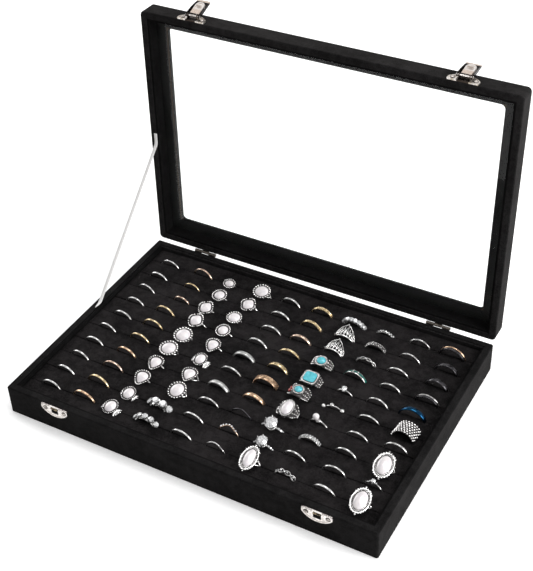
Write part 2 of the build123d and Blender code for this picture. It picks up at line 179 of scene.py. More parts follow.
# Sheet under the tray: black lining cloth, glued flat to the boards.
# It hides their joints and the velvet's turned edges, and the tray stands on it.
def threads_along(tree, direction):
    """The threads of a plain weave that run one way."""
    wave = tree.nodes.new("ShaderNodeTexWave")
    wave.wave_type = "BANDS"
    wave.bands_direction = direction
    wave.inputs["Scale"].default_value = 420.0
    join(tree, place(tree), wave.inputs["Vector"])
    return wave.outputs["Fac"]


lining_cloth, tree, shader = new_material("lining_cloth", Roughness=0.8, Specular_IOR_Level=0.3)
cloth_weave = arithmetic(tree, "MULTIPLY", threads_along(tree, "X"), threads_along(tree, "Y"))
join(tree, tint(tree, cloth_weave, (0.010, 0.010, 0.010), (0.035, 0.034, 0.033)), shader.inputs["Base Color"])
bump(tree, shader, cloth_weave, 0.0001)
dress(lining_cloth, "tray_underside_sheet")

# Velvet: black short-pile velvet, glued over boards and lining cards and turned in round every edge.
# Its pile lies in soft patches, catches lint, and shines where it is seen at a low angle.
pile, ends, out = new_group(
    "velvet_pile",
    [("Dark", "NodeSocketColor", (0.008, 0.008, 0.008, 1)),
     ("Light", "NodeSocketColor", (0.02, 0.02, 0.02, 1)),
     ("Lint", "NodeSocketFloat", 0.3)],
    [("Color", "NodeSocketColor"), ("Height", "NodeSocketFloat")],
)
where = place(pile)
tufts = noise(pile, where, 1100.0, 4.0, 0.75)
naps = noise(pile, where, 190.0, 3.0, 0.6)
patches = noise(pile, where, 34.0, 2.0, 0.5)
lean = arithmetic(pile, "ADD", arithmetic(pile, "MULTIPLY", naps, 0.5),
                  arithmetic(pile, "MULTIPLY", patches, 0.5))
lean = arithmetic(pile, "ADD", arithmetic(pile, "MULTIPLY", lean, 0.55),
                  arithmetic(pile, "MULTIPLY", tufts, 0.45))
velvet_tone = tint(pile, spread(pile, lean, 0.42, 0.58), ends.outputs["Dark"], ends.outputs["Light"])
threads = pile.nodes.new("ShaderNodeTexVoronoi")
threads.feature = "F1"
threads.inputs["Scale"].default_value = 330.0
join(pile, where, threads.inputs["Vector"])
speck = spread(pile, threads.outputs["Distance"], 0.02, 0.11, 1.0, 0.0)
rare = spread(pile, noise(pile, where, 130.0, 2.0), 0.60, 0.72)
speck = arithmetic(pile, "MULTIPLY", arithmetic(pile, "MULTIPLY", speck, rare), ends.outputs["Lint"])
join(pile, tint(pile, speck, velvet_tone, (0.16, 0.15, 0.15)), out.inputs["Color"])
join(pile, arithmetic(pile, "ADD", arithmetic(pile, "MULTIPLY", tufts, 0.7), naps), out.inputs["Height"])


def velvet(name, dark, light, lint, **sockets):
    """Velvet in two tones, with its amount of lint."""
    material, tree, shader = new_material(name, Roughness=0.95, Specular_IOR_Level=0.04, Sheen_Roughness=0.42,
                                          **sockets)
    cover = tree.nodes.new("ShaderNodeGroup")
    cover.node_tree = pile
    cover.inputs["Dark"].default_value = (*dark, 1)
    cover.inputs["Light"].default_value = (*light, 1)
    cover.inputs["Lint"].default_value = lint
    join(tree, cover.outputs["Color"], shader.inputs["Base Color"])
    bump(tree, shader, cover.outputs["Height"], 0.00025, 0.6)
    return material


outer_velvet = velvet("outer_velvet", (0.0045, 0.0044, 0.0045), (0.0145, 0.0138, 0.0141), 0.22,
                      Sheen_Weight=0.05, Sheen_Tint=(0.85, 0.80, 0.78))
dress(outer_velvet, "tray_cover")
lid_velvet = velvet("lid_velvet", (0.0060, 0.0058, 0.0058), (0.0200, 0.0190, 0.0192), 0.22,
                    Sheen_Weight=0.06, Sheen_Tint=(0.85, 0.80, 0.78))
dress(lid_velvet, "lid_cover")
# The linings are two copies of one velvet. The darker copy, on the tray's front and side linings and the
# lid's linings, is painted shade; the lighter copy, on the back lining, is painted light.
shaded_inner_velvet = velvet("shaded_inner_velvet", (0.0030, 0.0029, 0.0029), (0.0075, 0.0072, 0.0073), 0.2,
                      Sheen_Weight=0.02, Sheen_Tint=(0.8, 0.76, 0.78))
lit_back_velvet = velvet("lit_back_velvet", (0.0060, 0.0058, 0.0058), (0.0170, 0.0160, 0.0164), 0.2,
                     Sheen_Weight=0.05, Sheen_Tint=(0.8, 0.76, 0.78))
dress(lit_back_velvet, "tray_back_lining")
dress(shaded_inner_velvet, "tray_front_lining", "tray_left_lining", "tray_right_lining",
      "lid_hinge_lining", "lid_latch_lining", "lid_left_lining", "lid_right_lining")

# Lid panel: thin fibreboard behind the velvet, with black paper on its inner face round the window.
# The paper stops short of the window's edge, widest on the left, and leaves a strip of bare board.
WINDOW = (0.1565, 0.1015)
BARE_LEFT, BARE_LOW, BARE_EDGE = 0.0018, 0.0003, 0.0006
panel_board, tree, shader = new_material("panel_board", Roughness=0.8)
lid_low, lid_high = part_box("lid_window_panel")
across, deep, high = place_parts(tree)
up = arithmetic(tree, "SUBTRACT", high, (lid_low[2] + lid_high[2]) / 2)
beyond_left = arithmetic(tree, "LESS_THAN", across, -WINDOW[0] - BARE_LEFT)
beyond_right = arithmetic(tree, "GREATER_THAN", across, WINDOW[0] + BARE_EDGE)
beyond_top = arithmetic(tree, "GREATER_THAN", up, WINDOW[1] + BARE_EDGE)
beyond_low = arithmetic(tree, "LESS_THAN", up, -WINDOW[1] - BARE_LOW)
papered = arithmetic(tree, "MAXIMUM", arithmetic(tree, "MAXIMUM", beyond_left, beyond_right),
                     arithmetic(tree, "MAXIMUM", beyond_top, beyond_low))
grain = noise(tree, place(tree), 700.0, 5.0, 0.7)
bare = tint(tree, spread(tree, grain, 0.3, 0.7), (0.035, 0.022, 0.014), (0.10, 0.066, 0.042))
paper = tint(tree, spread(tree, grain, 0.3, 0.7), (0.006, 0.006, 0.006), (0.014, 0.013, 0.013))
join(tree, tint(tree, papered, bare, paper), shader.inputs["Base Color"])
bump(tree, shader, grain, 0.00005)
dress(panel_board, "lid_window_panel")

# Foam rolls: soft foam in velvet, cut into slots. Each roll has a crowned top and drawn-in sides,
# and gives way where a ring's band stands in the slot beside it.
INSIDE = (0.1667, 0.1117)
SLOT_PITCH = 0.0212
SLOT_GAP = 0.00003
SLOTS = [(row - 4.5) * SLOT_PITCH - 0.0020 for row in range(10)]
COLUMNS = [-0.1446, -0.1103, -0.0798, -0.0462, -0.0135, 0.0192, 0.0521, 0.0828, 0.1162, 0.1486]
FOAM_FOOT, FOAM_SHOULDER, FOAM_TOP = 0.0045, 0.02445, 0.0246
SLOT_OPENING, BOW_REACH = 0.0005, 0.0128
ROUNDED_END = 0.0060


def lay_mesh(name, patches, body):
    """Joins grids of points into one closed mesh. A patch is (points, closes_u, closes_v, material, flat)."""
    verts, faces, finish, facets, materials = [], [], [], [], []
    start = 0
    for points, closes_u, closes_v, material, flat in patches:
        if material not in materials:
            materials.append(material)
        rows, cols = points.shape[:2]
        number = np.arange(rows * cols).reshape(rows, cols) + start
        if closes_u:
            number = np.vstack([number, number[:1]])
        if closes_v:
            number = np.hstack([number, number[:, :1]])
        corners = [number[:-1, :-1], number[1:, :-1], number[1:, 1:], number[:-1, 1:]]
        quads = np.stack(corners, -1).reshape(-1, 4)
        verts.append(points.reshape(-1, 3))
        faces.append(quads)
        finish.append(np.full(len(quads), materials.index(material)))
        facets.append(np.full(len(quads), not flat))
        start += rows * cols
    mesh = bpy.data.meshes.new(name)
    mesh.from_pydata(np.concatenate(verts).tolist(), [], np.concatenate(faces).tolist())
    mesh.polygons.foreach_set("material_index", np.concatenate(finish).astype(np.int32))
    mesh.polygons.foreach_set("use_smooth", np.concatenate(facets))
    for material in materials:
        mesh.materials.append(material)
    shell = bmesh.new()
    shell.from_mesh(mesh)
    bmesh.ops.remove_doubles(shell, verts=shell.verts, dist=1e-7)
    bmesh.ops.recalc_face_normals(shell, faces=shell.faces)
    shell.to_mesh(mesh)
    shell.free()
    piece = bpy.data.objects.new(name, mesh)
    bpy.context.scene.collection.objects.link(piece)
    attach(piece, body)
    return piece


def soften(x, low, high):
    """0 below low, 1 above high, and a smooth step between."""
    t = np.clip((x - low) / (high - low), 0, 1)
    return t * t * (3 - 2 * t)


def parting(x, places):
    """How far rings standing along a slot push one lip of it back, at each x: a smooth bow per ring."""
    push = np.zeros_like(x)
    for middle in places:
        bow = soften(1 - np.abs(x - middle) / BOW_REACH, 0.0, 0.75)
        push = np.maximum(push, SLOT_OPENING / 2 * bow)
    return push


def roll_surface(start, stop, front_places, back_places):
    """A roll: along X, a loop of flat foot, side, crown z = shoulder + h (1 - |t|^8)^(1/2), side.
    Each lip moves away from its slot by the parting of the rings there, more towards the top."""
    length = 2 * INSIDE[0]
    inset = np.array([0.0, 0.0002, 0.0007, 0.0014, 0.0024, 0.0040])
    run = np.linspace(ROUNDED_END, length - ROUNDED_END, 240)
    x = -INSIDE[0] + np.concatenate([inset, run, (length - inset)[::-1]])
    from_end = np.minimum(x + INSIDE[0], INSIDE[0] - x)
    drop = 0.0014 * (1 - np.sqrt(np.clip(1 - (1 - np.clip(from_end / 0.0024, 0, 1)) ** 2, 0, 1)))
    foot = np.stack([np.linspace(-1, 1, 7)[:-1] * 0.96, np.zeros(6)], 1)
    rise = np.linspace(0, 1, 9)[:-1]
    side = np.stack([0.96 + 0.04 * np.sin(np.pi * rise), rise], 1)
    t = np.sin(np.linspace(np.pi / 2, -np.pi / 2, 41))
    crown = np.stack([0.96 * t, 1 + (1 - np.abs(t) ** 8) ** 0.5], 1)[:-1]
    fall = np.stack([-side[::-1, 0], side[::-1, 1]], 1)
    loop = np.concatenate([foot, side, crown, fall])
    across, level = loop[:, 0], loop[:, 1]
    height = np.where(level <= 1, FOAM_FOOT + level * (FOAM_SHOULDER - FOAM_FOOT),
                      FOAM_SHOULDER + (level - 1) * (FOAM_TOP - FOAM_SHOULDER))
    z = height[None, :] - drop[:, None] * soften(height, 0.012, 0.024)[None, :]
    yielding = soften(height, 0.014, 0.0236)[None, :]
    back_push = parting(x, back_places)[:, None] * yielding * soften(across, -0.2, 1.0)[None, :]
    front_push = parting(x, front_places)[:, None] * yielding * soften(-across, -0.2, 1.0)[None, :]
    wander = 0.00022 * np.sin(x * 95 + start * 900)[:, None] * yielding
    y = (start + stop) / 2 + across[None, :] * (stop - start) / 2 - back_push + front_push + wander
    swell = 0.00035 * np.sin(x * 61 + stop * 700)[:, None] * soften(height, 0.0225, 0.0255)[None, :]
    points = np.stack([np.broadcast_to(x[:, None], y.shape), y, np.minimum(z + swell - 0.0003, FOAM_TOP)], -1)
    first = points[:1].mean(axis=1, keepdims=True).repeat(points.shape[1], axis=1)
    last = points[-1:].mean(axis=1, keepdims=True).repeat(points.shape[1], axis=1)
    return np.concatenate([first, points, last])


foam_velvet = velvet("foam_velvet", (0.0046, 0.0043, 0.0044), (0.0205, 0.0185, 0.0190), 0.32,
                     Sheen_Weight=0.035, Sheen_Tint=(0.82, 0.78, 0.80))
roll_starts = [-INSIDE[1]] + [line + SLOT_GAP / 2 for line in SLOTS]
roll_stops = [line - SLOT_GAP / 2 for line in SLOTS] + [INSIDE[1]]
for number, (start, stop) in enumerate(zip(roll_starts, roll_stops), 1):
    front_places = COLUMNS if number > 1 else []
    back_places = COLUMNS if number < 11 else []
    surface = roll_surface(start, stop, front_places, back_places)
    roll = lay_mesh(f"roll_{number:02d}", [(surface, False, True, foam_velvet, False)], "tray")
    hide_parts(f"foam_roll_{number:02d}")

# Glass: a clear pane laid on the lid's panel and held down by the linings.
# It is flat float glass, with faint smears from wiping.
glass, tree, shader = new_material("pane_glass", Base_Color=(0.97, 0.99, 0.98), Roughness=0.0, IOR=1.25,
                                   Transmission_Weight=1.0)
smears = noise(tree, place(tree), 25.0, 4.0, 0.6)
bump(tree, shader, smears, 0.00001, 0.05)
dress(glass, "lid_glass")

# Hinges and pins: stamped steel with nickel plate. The latch pins are bright, and the butt hinges, which
# are screwed to the case's outer faces, are a darker copy of that nickel: a painted dark reflection of the
# velvet.
# Plated metals: bright and dull tones in patches. On the fittings the patches are a tarnish film; on the
# rings, where the two tones lie far apart, they are painted highlights and painted dark reflections.
wear_and_glints, ends, out = new_group(
    "plated_wear_and_glints",
    [("Bright", "NodeSocketColor", (0.8, 0.78, 0.75, 1)), ("Dull", "NodeSocketColor", (0.5, 0.47, 0.44, 1)),
     ("Gloss", "NodeSocketFloat", 0.2)],
    [("Color", "NodeSocketColor"), ("Roughness", "NodeSocketFloat"), ("Height", "NodeSocketFloat")],
)
where = place(wear_and_glints)
film_and_glints = noise(wear_and_glints, where, 420.0, 4.0, 0.6)
scratches = noise(wear_and_glints, where, 3800.0, 2.0, 0.5)
join(wear_and_glints, tint(wear_and_glints, spread(wear_and_glints, film_and_glints, 0.38, 0.66), ends.outputs["Bright"], ends.outputs["Dull"]),
     out.inputs["Color"])
join(wear_and_glints, arithmetic(wear_and_glints, "MULTIPLY", spread(wear_and_glints, film_and_glints, 0.3, 0.7, 0.7, 1.5), ends.outputs["Gloss"]),
     out.inputs["Roughness"])
join(wear_and_glints, scratches, out.inputs["Height"])


def plated(name, bright, dull, gloss):
    """Polished metal in two tones, in patches of tarnish film and, on the rings, of painted highlight; gloss
    is its roughness.
    """
    material, tree, shader = new_material(name, Metallic=1.0)
    skin = tree.nodes.new("ShaderNodeGroup")
    skin.node_tree = wear_and_glints
    skin.inputs["Bright"].default_value = (*bright, 1)
    skin.inputs["Dull"].default_value = (*dull, 1)
    skin.inputs["Gloss"].default_value = gloss
    join(tree, skin.outputs["Color"], shader.inputs["Base Color"])
    join(tree, skin.outputs["Roughness"], shader.inputs["Roughness"])
    bump(tree, shader, skin.outputs["Height"], 0.00001, 0.4)
    return material


nickel = plated("nickel_plate", (0.86, 0.82, 0.79), (0.62, 0.57, 0.53), 0.26)
dress(nickel, "left_latch_pin", "right_latch_pin")
# The hinges' nickel is painted dark: a painted dark reflection of the velvet round them.
hinge_nickel_painted_dark = plated("hinge_nickel_painted_dark", (0.16, 0.14, 0.12), (0.035, 0.030, 0.025), 0.30)
dress(hinge_nickel_painted_dark, "left_hinge_tray_leaf", "right_hinge_tray_leaf", "left_hinge_pin", "right_hinge_pin",
      "left_hinge_lid_leaf", "right_hinge_lid_leaf")
LATCH_PLACE = 0.124


def fitting_for_mask(name):
    """The fittings' metal, ready for a mask; also returns its unmasked colour, a point's distance from the
    fitting's middle line, and its Y and Z."""
    material = plated(name, (0.86, 0.82, 0.79), (0.60, 0.56, 0.53), 0.25)
    tree = material.node_tree
    shader = tree.nodes["Principled BSDF"]
    unmasked_tone = shader.inputs["Base Color"].links[0].from_socket
    across, deep, high = place_parts(tree)
    from_middle = arithmetic(tree, "SUBTRACT", arithmetic(tree, "ABSOLUTE", across), LATCH_PLACE)
    return material, tree, shader, unmasked_tone, arithmetic(tree, "ABSOLUTE", from_middle), deep, high


# Strike plates: bright plates whose window frames the rolled catch. The catch is dark bronze in patches,
# and the upper edge, with its beads, is darker in patches.
strike_metal, tree, shader, unmasked_tone, off, deep, high = fitting_for_mask("strike_metal")
catch_height = arithmetic(tree, "MULTIPLY", spread(tree, high, 0.0197, 0.0199),
                          within(tree, high, 0.0266, 0.0268))
catch = arithmetic(tree, "MULTIPLY", within(tree, off, 0.0033, 0.0035), catch_height)
brassy = tint(tree, spread(tree, noise(tree, place(tree), 900.0, 2.0, 0.5), 0.48, 0.60),
              (0.030, 0.026, 0.021), (0.34, 0.27, 0.17))
top_edge = arithmetic(tree, "MULTIPLY", spread(tree, high, 0.0262, 0.0264), spread(tree, off, 0.0042, 0.0044))
edge_patches = spread(tree, noise(tree, place(tree), 1100.0, 2.0, 0.5), 0.42, 0.56, 1.0, 0.25)
edge = tint(tree, arithmetic(tree, "MULTIPLY", top_edge, edge_patches), unmasked_tone, (0.20, 0.17, 0.165))
join(tree, tint(tree, catch, edge, brassy), shader.inputs["Base Color"])
dress(strike_metal, "left_strike_plate", "right_strike_plate")

# Latch plates: the same bright plates, painted near black between the ears, round pin and spring: painted
# shade under the lever.
latch_metal, tree, shader, unmasked_tone, off, deep, high = fitting_for_mask("latch_metal")
shade_between_ears = within(tree, off, 0.0048, 0.0052)
mottle = spread(tree, noise(tree, place(tree), 500.0, 3.0, 0.5), 0.42, 0.62)
join(tree, tint(tree, shade_between_ears, tint(tree, mottle, unmasked_tone, (0.44, 0.38, 0.30)), (0.040, 0.030, 0.024)),
     shader.inputs["Base Color"])
dress(latch_metal, "left_latch_plate", "right_latch_plate")


# Levers: the same plate, bright on the raised tongue and warmer in tone near the root and on the curled tip.
# The channel round the tongue, the side flanges and the root are painted black: painted shade and dark
# reflection.
PIVOT_Y, PIVOT_Z = 0.13355, 0.27329
TONGUE_END, TONGUE_HALF, CHANNEL_END = 0.0123, 0.00452, 0.0182


def lever_metal(name, rise):
    """Reach y cos a + z sin a is counted from the pivot along the lever, which rises by the angle a. The
    channel lies past the tongue's radius (x^2 + p^2)^(1/2), with p the reach past its round end's centre."""
    material, tree, shader, unmasked_tone, off, deep, high = fitting_for_mask(name)
    level, upright = float(np.cos(np.radians(rise))), float(np.sin(np.radians(rise)))
    reach = arithmetic(tree, "ADD", arithmetic(tree, "MULTIPLY", deep, level),
                       arithmetic(tree, "MULTIPLY", high, upright))
    reach = arithmetic(tree, "SUBTRACT", reach, PIVOT_Y * level + PIVOT_Z * upright)
    past = arithmetic(tree, "MAXIMUM", arithmetic(tree, "SUBTRACT", reach, TONGUE_END), 0.0)
    squares = arithmetic(tree, "ADD", arithmetic(tree, "MULTIPLY", past, past),
                         arithmetic(tree, "MULTIPLY", off, off))
    radius = arithmetic(tree, "POWER", squares, 0.5)
    channel = arithmetic(tree, "MULTIPLY", spread(tree, radius, TONGUE_HALF, TONGUE_HALF + 0.00014),
                         within(tree, reach, CHANNEL_END, CHANNEL_END + 0.0004))
    # Painted shade and painted dark reflection in the channel, on the flanges and at the root.
    shade_and_dark_reflection = arithmetic(tree, "MAXIMUM", channel, within(tree, reach, 0.0026, 0.0028))
    warm = arithmetic(tree, "MAXIMUM", within(tree, reach, 0.0070, 0.0085),
                      spread(tree, reach, CHANNEL_END, CHANNEL_END + 0.0004))
    worn = tint(tree, warm, unmasked_tone, (0.62, 0.52, 0.45))
    join(tree, tint(tree, shade_and_dark_reflection, worn, (0.014, 0.012, 0.011)), shader.inputs["Base Color"])
    return material


dress(lever_metal("left_lever_metal", 19.7), "left_latch_lever")
dress(lever_metal("right_lever_metal", 6.7), "right_latch_lever")

# Screws: slotted steel screws with domed heads, two in each plate and leaf, driven into the boards.
# The solids have only their plain drums, so the heads lie over them here.
# The slot floors and the seats under the heads are painted near black: painted shade in the slots and under
# the heads.
slot_shade = plated("slot_shade", (0.035, 0.030, 0.028), (0.012, 0.011, 0.010), 0.6)
screw_steel = plated("screw_steel", (0.66, 0.60, 0.56), (0.05, 0.045, 0.04), 0.30)
SCREW_RADIUS = 1.58


def seated(patch, turn, spot, origin, axes):
    """Turns a patch in millimetres about its own Z and stands it on a face with an origin and three axes."""
    points, *rest = patch
    c, s = np.cos(turn), np.sin(turn)
    spun = np.stack([points[..., 0] * c - points[..., 1] * s, points[..., 0] * s + points[..., 1] * c,
                     points[..., 2]], -1)
    return ((spun + spot) @ np.array(axes) + origin) / 1000, *rest


def screw_head(metal):
    """A dome z = 0.52 + 0.43 (1 - x^2 - y^2) on a unit disc, cut by a slot along Y, over a flat seat."""
    half = np.array([0.115, 0.145, 0.35, 0.55, 0.75, 0.9, 0.97, 1])
    edges = np.concatenate([-half[::-1], half])
    share = np.linspace(-1, 1, 15)
    x = np.repeat(edges[:, None], 30, axis=1)
    y = np.concatenate([share, share[::-1]])[None, :] * np.sqrt(1 - x ** 2)
    dome = 0.52 + 0.43 * (1 - x ** 2 - y ** 2)
    dome = np.where(np.abs(x) < 0.13, 0.56, dome)
    z = np.where(np.arange(30)[None, :] < 15, dome, 0.02)
    points = np.stack([x * SCREW_RADIUS, y * SCREW_RADIUS, z], -1)
    slot_floor = np.array([(-0.30, -1.5), (0.30, -1.5), (0.30, 1.5), (-0.30, 1.5)])
    rings_of_floor = [(0, 0.54), (1, 0.54), (1, 0.60), (0, 0.60)]
    loop = np.stack([np.column_stack([slot_floor * reach, np.full(4, level)])
                     for reach, level in rings_of_floor])
    turn = np.linspace(0, 2 * np.pi, 25)[:-1][:, None]
    profile = np.array([(1.50, 0.0), (2.10, 0.0), (2.05, 0.10), (1.50, 0.10)])
    seat = np.stack([np.cos(turn) * profile[:, 0], np.sin(turn) * profile[:, 0],
                     np.repeat(profile[None, :, 1], 24, axis=0)], -1)
    return [(points, False, True, metal, False), (loop, False, True, slot_shade, True),
            (seat, True, True, slot_shade, False)]


LEAN = 1.3
LID_IN = (0, np.cos(np.radians(LEAN)), -np.sin(np.radians(LEAN)))
LID_UP = (0, np.sin(np.radians(LEAN)), np.cos(np.radians(LEAN)))
LID_DOWN = (0, -np.sin(np.radians(LEAN)), -np.cos(np.radians(LEAN)))
PLATE_SCREWS, LEAF_SCREWS = (9.5, 5.1, 0.7), (7.0, 6.2, 0.8)
LATCH_X, HINGE_X = LATCH_PLACE * 1000, 122
STRIKE_AXES, LATCH_AXES = ((-1, 0, 0), (0, 0, -1), (0, -1, 0)), ((1, 0, 0), LID_IN, LID_UP)
LID_LEAF_AXES, TRAY_LEAF_AXES = ((1, 0, 0), LID_IN, LID_DOWN), ((1, 0, 0), (0, 0, -1), (0, 1, 0))
SCREWS = [
    ("strike_screws", "tray", screw_steel, (LATCH_X, -120, 28.5), STRIKE_AXES, PLATE_SCREWS),
    ("latch_screws", "lid", screw_steel, (LATCH_X, 127.382, 270.330), LATCH_AXES, PLATE_SCREWS),
    ("hinge_lid_screws", "lid", hinge_nickel_painted_dark, (HINGE_X, 121.937, 30.392), LID_LEAF_AXES, LEAF_SCREWS),
    ("hinge_tray_screws", "tray", hinge_nickel_painted_dark, (HINGE_X, 120, 28.5), TRAY_LEAF_AXES, LEAF_SCREWS),
]
for name, body, metal, (middle, y, z), axes, (reach, rise, seat) in SCREWS:
    for side_name, sign in (("left", -1), ("right", 1)):
        patches = []
        for spot, turn in ((-reach, 0.5 + sign * 0.3), (reach, 2.1 - sign * 0.4)):
            patches += [seated(patch, turn, (spot, rise, seat), (middle * sign, y, z), axes)
                        for patch in screw_head(metal)]
        lay_mesh(f"{side_name}_{name}", patches, body)

# Latch springs: seven turns of spring wire wound round each latch pin, with a straight leg at each end.
# They sit between the ears, under the lever's root.
spring_wire = plated("spring_wire", (0.80, 0.78, 0.76), (0.45, 0.42, 0.40), 0.25)


def coil(centre, half, wound, wire, turns):
    """Wire round the X axis: x from -half to half, y = r cos t, z = r sin t, with a straight leg each end."""
    t = np.linspace(0, 2 * np.pi * turns, turns * 18 + 1)
    line = np.stack([np.linspace(-half, half, len(t)), wound * np.cos(t), wound * np.sin(t)], -1)
    leg = np.linspace(3.4, 0.4, 5)[:, None]
    start = line[0] + leg * np.array([-0.02, 0.05, -0.6])
    stop = line[-1] + leg[::-1] * np.array([0.02, 0.05, 0.6])
    line = np.concatenate([start, line, stop])
    along = np.gradient(line, axis=0)
    along /= np.linalg.norm(along, axis=1, keepdims=True)
    first = np.cross(along, (1.0, 0.0, 0.0))
    first /= np.linalg.norm(first, axis=1, keepdims=True)
    second = np.cross(along, first)
    turn = np.linspace(0, 2 * np.pi, 8)[:-1][None, :, None]
    rim = line[:, None] + wire * (np.cos(turn) * first[:, None] + np.sin(turn) * second[:, None])
    ends = [line[:1, None].repeat(7, axis=1), rim, line[-1:, None].repeat(7, axis=1)]
    return np.concatenate(ends) / 1000 + centre


for side_name, sign in (("left", -1), ("right", 1)):
    wound_wire = coil(np.array((sign * LATCH_PLACE, PIVOT_Y, PIVOT_Z)), 3.2, 1.0, 0.2, 7)
    spring = lay_mesh(f"{side_name}_wound_spring", [(wound_wire, False, True, spring_wire, False)], "lid")
    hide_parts(f"{side_name}_latch_spring")

# Finger rings on show: a hundred of them stand in the slots, ten columns of ten, half out of the foam.
# They are sold without the tray, so they are no CAD nodes. Each is one piece: hoop, setting and stones.
# Sizes here are in millimetres in a ring's own frame: hole along Y, top towards +Z.
AROUND = np.linspace(0, 2 * np.pi, 65)[:-1]
RING_CENTRE = 0.0200
HOOP_RADIUS = 10.0
SIDE = np.where(AROUND > np.pi, AROUND - 2 * np.pi, AROUND)

# The silvers and golds are set darker than these metals are, a painted dark reflection of the velvet round
# them; ring_bright_silver is a lighter copy of the same silver, a painted highlight.
silver = plated("ring_silver", (0.66, 0.655, 0.65), (0.20, 0.195, 0.19), 0.22)
bright_silver = plated("ring_bright_silver", (0.86, 0.85, 0.84), (0.40, 0.39, 0.385), 0.20)
satin_silver = plated("ring_satin_silver", (0.42, 0.42, 0.41), (0.28, 0.28, 0.28), 0.40)
old_silver = plated("ring_aged_silver", (0.56, 0.55, 0.54), (0.07, 0.065, 0.065), 0.28)
dark_pit = plated("ring_dark_pit", (0.06, 0.055, 0.055), (0.02, 0.02, 0.02), 0.35)
gold = plated("ring_gold", (0.71, 0.58, 0.37), (0.22, 0.15, 0.070), 0.22)
rose_gold = plated("ring_rose_gold", (0.72, 0.56, 0.45), (0.22, 0.14, 0.100), 0.23)
copper_gold = plated("ring_copper", (0.66, 0.47, 0.32), (0.21, 0.12, 0.075), 0.25)
dark_steel = plated("ring_dark_steel", (0.07, 0.066, 0.07), (0.03, 0.03, 0.033), 0.25)
blue_steel = plated("ring_blue_steel", (0.008, 0.05, 0.10), (0.004, 0.02, 0.05), 0.16)


def stone(name, light, dark, cells, rough=0.18, **sockets):
    """A polished stone: two tones in clouds of so many cells per metre."""
    material, tree, shader = new_material(name, Roughness=rough, **sockets)
    clouds = noise(tree, place(tree), cells, 4.0, 0.6)
    join(tree, tint(tree, spread(tree, clouds, 0.35, 0.65), light, dark), shader.inputs["Base Color"])
    return material


white_opal = stone("stone_white_opal", (0.88, 0.83, 0.83), (0.72, 0.68, 0.71), 260.0, Coat_Weight=0.6)
turquoise = stone("stone_turquoise", (0.10, 0.60, 0.70), (0.05, 0.42, 0.50), 420.0, Coat_Weight=0.4)
coral = stone("stone_coral", (0.60, 0.10, 0.08), (0.35, 0.05, 0.05), 420.0, Coat_Weight=0.4)
green_shell = stone("stone_green_shell", (0.012, 0.16, 0.12), (0.003, 0.045, 0.04), 700.0, Coat_Weight=0.5)
crystal = stone("stone_crystal", (0.95, 0.95, 0.95), (0.30, 0.30, 0.31), 1000.0, rough=0.05, Metallic=0.6)


def hoop(metal, width, thick=1.5, radius=HOOP_RADIUS, shift=0.0, raised=0.0, square=2.2):
    """A band: at each angle from the top, the section |y / (w/2)|^n + |r / (t/2)|^n = 1 about the radius."""
    turn = np.linspace(0, 2 * np.pi, 15)[:-1]
    curve = np.sign(np.cos(turn)) * np.abs(np.cos(turn)) ** (2 / square)
    crown = np.sign(np.sin(turn)) * np.abs(np.sin(turn)) ** (2 / square)
    width, shift, raised = (np.broadcast_to(value, AROUND.shape)[:, None] for value in (width, shift, raised))
    reach = radius - thick / 2 + raised + crown[None, :] * thick / 2
    y = shift + curve[None, :] * width / 2
    points = np.stack([reach * np.sin(AROUND)[:, None], y, reach * np.cos(AROUND)[:, None]], -1)
    return points, True, True, metal, False


def outline_of(shape, turn):
    """A head's outline of about unit size: oval, box, diamond (a box turned by 28 degrees), or pear."""
    c, s = np.cos(turn), np.sin(turn)
    if shape in ("box", "diamond"):
        power = 0.5 if shape == "box" else 0.66
        x, y = np.sign(c) * np.abs(c) ** power, np.sign(s) * np.abs(s) ** power
        return (x, y) if shape == "box" else (0.88 * x - 0.47 * y, 0.47 * x + 0.88 * y)
    if shape == "pear":
        return c * (1 + 0.42 * s - 0.1 * s ** 2), s * 1.1 - 0.05
    return c, s


def cabochon(material, shape, half_x, half_y, foot, rise, flat_top=0.0, turns=24):
    """A closed cap on a head's outline: a flat foot, then z = foot + rise (1 - r^2)^(1/2) to the flat top."""
    turn = np.linspace(0, 2 * np.pi, turns + 1)[:-1]
    x, y = outline_of(shape, turn)
    slope = np.linspace(0, np.pi / 2, 7)
    reach = np.concatenate([[0.0], np.maximum(np.cos(slope), flat_top), [0.0]])
    level = np.concatenate([[0.0], np.sin(slope), [1.0]])
    level[2:] = level[2:] / level[-2] if flat_top else level[2:]
    points = np.stack([reach[:, None] * x * half_x, reach[:, None] * y * half_y,
                       foot + rise * level[:, None] * np.ones_like(x)], -1)
    return points, False, True, material, bool(flat_top)


def ball(material, x, y, z, radius, flat=False, sides=8):
    """A bead: x = r sin p cos t, y = r sin p sin t, z = r cos p."""
    turn = np.linspace(0, 2 * np.pi, sides + 1)[:-1]
    tilt = np.linspace(0, np.pi, sides // 2 + 2)[:, None]
    points = np.stack([x + radius * np.sin(tilt) * np.cos(turn), y + radius * np.sin(tilt) * np.sin(turn),
                       z + radius * np.cos(tilt) * np.ones_like(turn)], -1)
    return points, False, True, material, flat


def gem(material, radius, foot, sides=10):
    """A cut stone: point, girdle, crown and table, all flat facets."""
    turn = np.linspace(0, 2 * np.pi, sides + 1)[:-1]
    reach = np.array([0.0, 1.0, 1.0, 0.62, 0.0])[:, None]
    level = np.array([-0.85, -0.05, 0.05, 0.45, 0.45])[:, None]
    points = np.stack([radius * reach * np.cos(turn), radius * reach * np.sin(turn),
                       foot + radius * (0.85 + level) * np.ones_like(turn)], -1)
    return points, False, True, material, True


